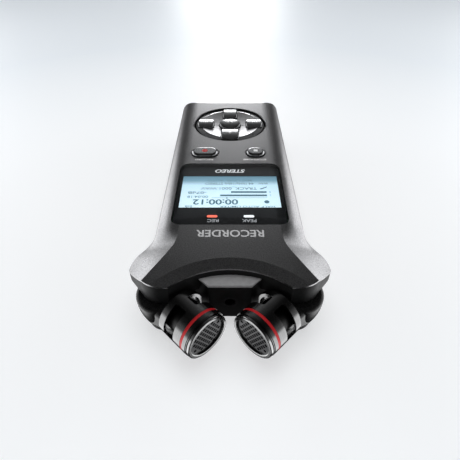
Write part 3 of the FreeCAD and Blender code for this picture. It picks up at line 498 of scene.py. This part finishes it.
def cover_marks():
    """Generic words printed on the cover."""
    silver = ink("print_silver", (0.56, 0.565, 0.57), 0.4)
    # The pale ink carries a painted glow: the print shines though it is no lamp.
    pale = ink("print_pale", (0.8, 0.8, 0.8), 0.4, 0.15)
    large = Print().text("RECORDER", 0, 117.0, 24.5, 3.7, 0.018)
    large.drape("front_cover").finish("maker_word", ROOT, "silver_cover", silver)
    small = Print().text("RECORD", 12.0, 66.4, 8.4, 1.35, 0.02)
    small.text("STOP/HOME", -11.4, 66.4, 10.8, 1.35, 0.02)
    small.drape("front_cover").finish("key_words", ROOT, "silver_cover", pale)


def key_middle(name):
    """Centre of a key's top, in millimetres from the bottom end."""
    low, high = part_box(name)
    return (low.x + high.x) / (2 * MM), ((low.y + high.y) / 2 - BOTTOM) / MM


def key_marks():
    """Symbols on the keys, each riding on its key."""
    # Both inks carry a painted glow: the symbols shine though they are no lamps.
    white = ink("key_white", (0.8, 0.81, 0.82), 0.4, 0.1)
    red = ink("key_red", (0.42, 0.01, 0.01), 0.35, 0.04)
    dot, square = 1.35, 0.9
    tall = 0.85                     # half height of the play symbol
    arm, line = 1.1, 0.17           # half length and half width of plus and minus
    skip = 0.75                     # half height of the skip symbols

    def stamp(page, name, key, material):
        page.drape(key).finish(name, key, "black_key", material)

    x, y = key_middle("record_key")
    stamp(Print().disc(x, y, dot), "record_dot", "record_key", red)

    x, y = key_middle("stop_key")
    stamp(Print().bar(x - square, x + square, y - square, y + square), "stop_square", "stop_key", white)

    x, y = key_middle("play_key")
    page = Print().shape([(x - 1.5, y - tall), (x + 0.2, y), (x - 1.5, y + tall)])
    for left in (0.6, 1.3):
        page.bar(x + left, x + left + 0.35, y - tall, y + tall)
    stamp(page, "play_symbol", "play_key", white)

    x, y = key_middle("up_key")
    page = Print().bar(x - arm, x + arm, y - line, y + line)
    page.bar(x - line, x + line, y + 0.2, y + arm).bar(x - line, x + line, y - arm, y - 0.2)
    stamp(page, "plus_symbol", "up_key", white)

    x, y = key_middle("down_key")
    stamp(Print().bar(x - arm, x + arm, y - line, y + line), "minus_symbol", "down_key", white)

    for key, way in (("forward_key", 1), ("rewind_key", -1)):
        x, y = key_middle(key)
        page = Print()
        for back in (-1.15, 0.0):
            base = x + way * back
            page.shape([(base + way * 1.1, y), (base, y + skip), (base, y - skip)])
        page.bar(*sorted((x + way * 1.25, x + way * 1.5)), y - skip, y + skip)
        stamp(page, key.replace("key", "symbol"), key, white)


# ---------------------------------------------------------------- camera, lights, floor

def make_camera():
    """Where the photo was taken from: above the microphones, looking down towards the bottom end."""
    data = bpy.data.cameras.new("camera")
    data.sensor_width = 36.0
    data.lens = CAMERA_LENS
    data.clip_start = 0.002
    camera = bpy.data.objects.new("camera", data)
    bpy.context.scene.collection.objects.link(camera)
    camera.location = at(*CAMERA_AT)
    camera.rotation_euler = (math.radians(90 - CAMERA_DOWN), 0, math.radians(180))
    bpy.context.scene.camera = camera


def area_light(name, place, target, size, power):
    """A soft box that lights surfaces but isn't mirrored in them: the sky gives every reflection."""
    data = bpy.data.lights.new(name, "AREA")
    data.shape = "RECTANGLE"
    data.size, data.size_y = size
    data.energy = power
    lamp = bpy.data.objects.new(name, data)
    bpy.context.scene.collection.objects.link(lamp)
    lamp.location = place
    lamp.rotation_euler = (Vector(target) - Vector(place)).to_track_quat("-Z", "Y").to_euler()
    lamp.visible_glossy = False


class Sky:
    """The studio around the recorder, as a brightness for each direction."""

    def __init__(self):
        world = bpy.data.worlds.new("studio")
        bpy.context.scene.world = world
        world.use_nodes = True
        self.tree = world.node_tree
        self.background = self.tree.nodes["Background"]
        where = self.tree.nodes.new("ShaderNodeTexCoord")
        parts = self.tree.nodes.new("ShaderNodeSeparateXYZ")
        self.tree.links.new(where.outputs["Generated"], parts.inputs["Vector"])
        self.y, self.z = parts.outputs["Y"], parts.outputs["Z"]
        self.across = self.math("ABSOLUTE", parts.outputs["X"])

    def math(self, operation, a, b=0.0):
        made = self.tree.nodes.new("ShaderNodeMath")
        made.operation = operation
        for socket, value in zip(made.inputs, (a, b)):
            if isinstance(value, float):
                socket.default_value = value
            else:
                self.tree.links.new(value, socket)
        return made.outputs["Value"]

    def step(self, value, start, end, first, last):
        """A smooth change from first to last as value goes from start to end."""
        made = self.tree.nodes.new("ShaderNodeMapRange")
        made.interpolation_type = "SMOOTHSTEP"
        limits = {"From Min": start, "From Max": end, "To Min": first, "To Max": last}
        for socket, number in limits.items():
            made.inputs[socket].default_value = number
        self.tree.links.new(value, made.inputs["Value"])
        return made.outputs["Result"]

    def product(self, *values):
        total = values[0]
        for value in values[1:]:
            total = self.math("MULTIPLY", total, value)
        return total


def make_sky():
    """Dark overhead; brighter low at both sides, under the microphones and behind the bottom end."""
    sky = Sky()
    base = sky.product(
        sky.step(sky.z, 0.3, 0.8, 0.46, 0.062),
        sky.step(sky.z, -0.2, 0.35, 0.3, 1.0),
        sky.step(sky.y, -0.6, 0.5, 1.0, 0.35),
        sky.step(sky.across, 0.1, 0.3, 1.0, 0.2))
    sides = sky.product(
        sky.step(sky.across, 0.46, 0.58, 0.0, 2.1),
        sky.step(sky.z, 0.3, 0.62, 1.0, 0.0),
        sky.step(sky.across, 0.6, 0.8, 1.0, 0.75),
        sky.step(sky.y, -0.35, 0.1, 1.0, 0.12))
    under = sky.product(
        sky.step(sky.across, 0.46, 0.6, 0.0, 1.8),
        sky.step(sky.z, -0.05, 0.2, 1.0, 0.0),
        sky.step(sky.y, -0.35, 0.1, 0.0, 1.0),
        sky.step(sky.y, 0.2, 0.9, 1.0, 0.3))
    behind = sky.product(
        sky.step(sky.across, 0.08, 0.15, 1.0, 0.0),
        sky.step(sky.y, -0.5, -0.2, 1.0, 0.0),
        sky.step(sky.z, 0.12, 0.42, 7.0, 0.0))
    total = sky.math("ADD", sky.math("ADD", base, sides), sky.math("ADD", under, behind))
    sky.background.inputs["Color"].default_value = (0.985, 0.99, 1.0, 1.0)
    sky.tree.links.new(total, sky.background.inputs["Strength"])


def make_lights():
    """The sky, a low strip light at each side and a soft box overhead."""
    make_sky()
    for name, way in (("side_right", 1), ("side_left", -1)):
        area_light(name, (way * 0.5, 0.05, 0.125), (0, 0.05, 0.02), (0.8, 0.06), 1.6)
    area_light("overhead", (0, -0.1, 0.7), (0, -0.1, 0), (0.6, 0.6), 2.6)
    bpy.context.scene.view_settings.view_transform = "Standard"


def stage_piece(name, build, material):
    """A piece of the set, made by build on an empty mesh. Shiny surfaces mirror the sky instead of it."""
    maker = bmesh.new()
    build(maker)
    mesh = bpy.data.meshes.new(name)
    maker.to_mesh(mesh)
    maker.free()
    mesh.materials.append(material)
    piece = bpy.data.objects.new(name, mesh)
    bpy.context.scene.collection.objects.link(piece)
    piece.visible_glossy = False
    return piece


def make_floor():
    """A pale table that glows like a light table, lighting the recorder from below; its glow is a painted
    pool of light, brightest round the recorder and falling off gently away from it.
    """
    s = Shader("floor", (0.5, 0.515, 0.53), 0.4, 0.0, Emission_Strength=0.55, Specular_IOR_Level=0.2)
    where = s.node("ShaderNodeTexCoord")
    reach = s.node("ShaderNodeVectorMath", operation="LENGTH")
    s.link(where.outputs["Object"], reach.inputs[0])
    made = s.node("ShaderNodeMapRange")
    made.inputs["From Max"].default_value = 0.3
    s.link(reach.outputs["Value"], made.inputs["Value"])
    # Painted pool of light: the glow is brightest round the recorder and dims away from it.
    stops = [(0.1, (1.0, 1.0, 1.0)), (0.45, (0.93, 0.95, 0.97)), (1.0, (0.7, 0.76, 0.82))]
    s.link(s.ramp(made.outputs["Result"], stops), s.bsdf.inputs["Emission Color"])
    s.roughness(s.noise(6, 2.0), 0.36, 0.44)

    def grid(maker):
        bmesh.ops.create_grid(maker, x_segments=2, y_segments=2, size=TABLE_REACH)

    floor = stage_piece("floor", grid, s.material)
    floor.location = (0, 0, cad_box[0][2] - FLOOR_GAP)


def make_backdrop():
    """A pale dome round the table, seen only directly."""
    tone = (0.9, 0.92, 0.94)
    s = Shader("backdrop", tone, 0.6, 0.0, Emission_Color=(*tone, 1.0), Emission_Strength=0.75)
    s.mottle(s.noise(0.8, 2.0), tone, 0.97, 1.0, high=0.7)

    def sphere(maker):
        bmesh.ops.create_uvsphere(maker, u_segments=48, v_segments=24, radius=DOME_R)

    dome = stage_piece("backdrop", sphere, s.material)
    for ray in ("diffuse", "transmission", "volume_scatter", "shadow"):
        setattr(dome, "visible_" + ray, False)


make_camera()
make_lights()
make_floor()
make_backdrop()
dress_nodes()
lcd_marks()
window_marks()
cover_marks()
key_marks()
